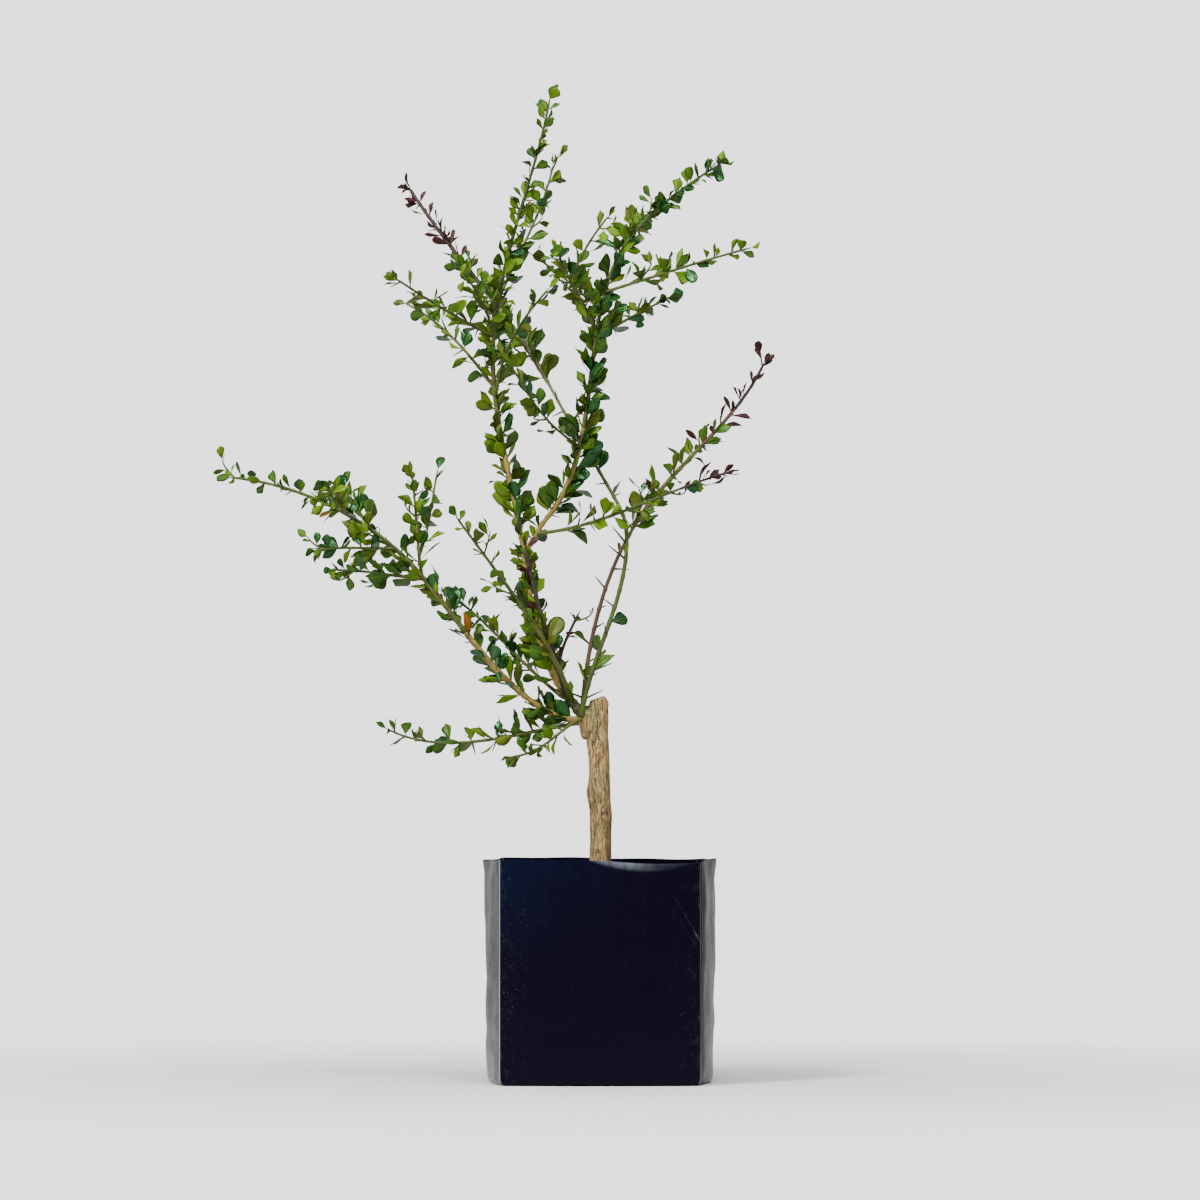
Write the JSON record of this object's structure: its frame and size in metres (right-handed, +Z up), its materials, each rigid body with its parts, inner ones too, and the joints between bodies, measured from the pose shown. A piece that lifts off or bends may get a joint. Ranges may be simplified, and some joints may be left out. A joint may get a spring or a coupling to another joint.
{
  "type": "potted finger lime tree",
  "caption": "Young thorny finger lime shrub with small spoon-shaped leaves on slender shoots from one pruned trunk, standing in a black gusseted planting bag.",
  "frame": {"origin": "middle of the bag's flat underside, which the plant stands on", "axes": "+Z up through the trunk, +X to the viewer's right in the front view, where the crown leans to -X, and +Y to the back"},
  "size_m": [0.559, 0.3764, 0.9942],
  "materials": {
    "black_film": "satin",
    "potting_mix": "matte",
    "trunk_bark": "matte",
    "dark_bark": "matte",
    "tan_bark": "matte",
    "green_bark": "satin",
    "grey_bark": "matte",
    "brown_bark": "matte",
    "leaf": "satin"
  },
  "bodies": {
    "root": {"bag": "black_film", "soil": "potting_mix", "trunk": "trunk_bark", "bough_main": "dark_bark", "bough_leader": "tan_bark", "bough_left": "tan_bark", "bough_right": "tan_bark", "bough_green": "green_bark", "bough_grey": "grey_bark", "bough_brown": "brown_bark", "mass_leader": "leaf", "mass_red": "leaf", "mass_front_left": "leaf", "mass_inner_left": "leaf", "mass_left": "leaf", "mass_low": "leaf", "mass_low_front": "leaf", "mass_right": "leaf", "mass_crossing": "leaf", "mass_green": "leaf", "mass_grey": "leaf", "mass_brown": "leaf"}
  },
  "joints": []
}
